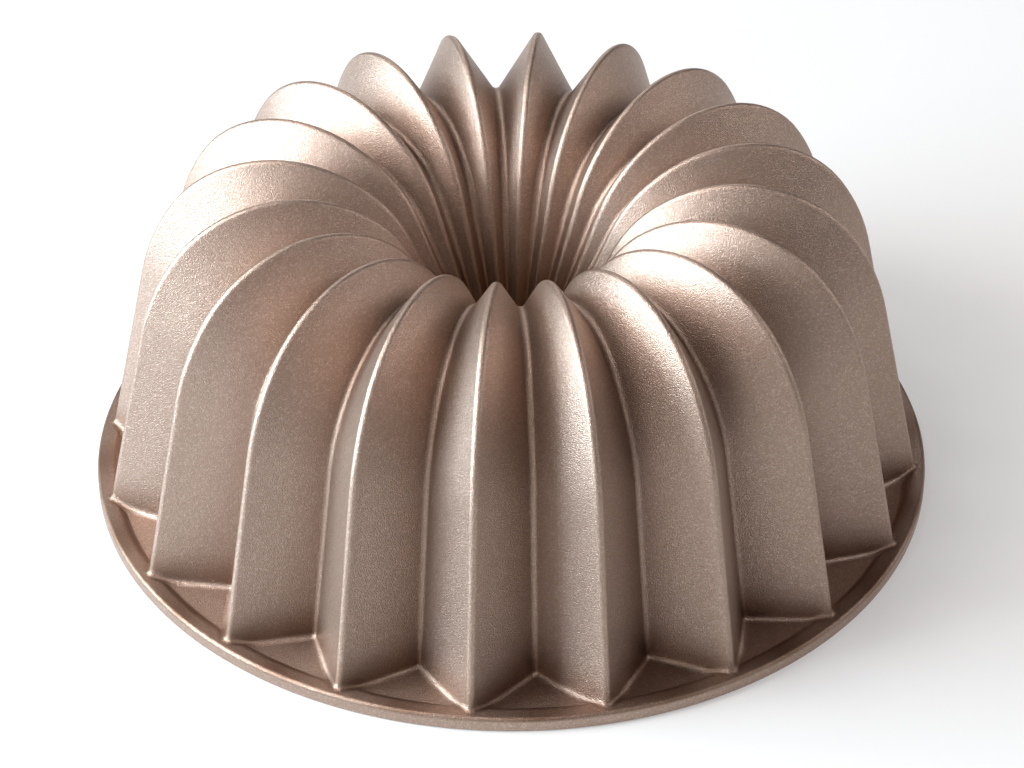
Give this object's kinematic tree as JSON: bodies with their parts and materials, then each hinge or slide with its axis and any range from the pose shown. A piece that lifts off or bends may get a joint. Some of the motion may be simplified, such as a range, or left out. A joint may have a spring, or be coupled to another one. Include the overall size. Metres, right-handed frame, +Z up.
{
  "type": "bundt pan",
  "caption": "Round fluted ring cake pan of cast aluminium with sharp pleats, an open centre tube and a flat stepped rim, shown mouth down.",
  "frame": {"origin": "centre of the flat rim, in the rim plane that the pan stands on mouth down", "axes": "+Z up the centre tube from the rim to the crown; a ridge lies on +X and every 18 degrees round"},
  "size_m": [0.262, 0.262, 0.1075],
  "materials": {
    "casting": "as cast, satin",
    "metallic_coat": "semi-matte champagne metallic with a fine sparkle",
    "release_coat": "smooth satin nonstick"
  },
  "bodies": {
    "root": {"fluted_shell": "casting", "centre_tube": "casting", "rim_flange": "casting", "outer_coat": "metallic_coat", "nonstick_lining": "release_coat"}
  },
  "joints": []
}
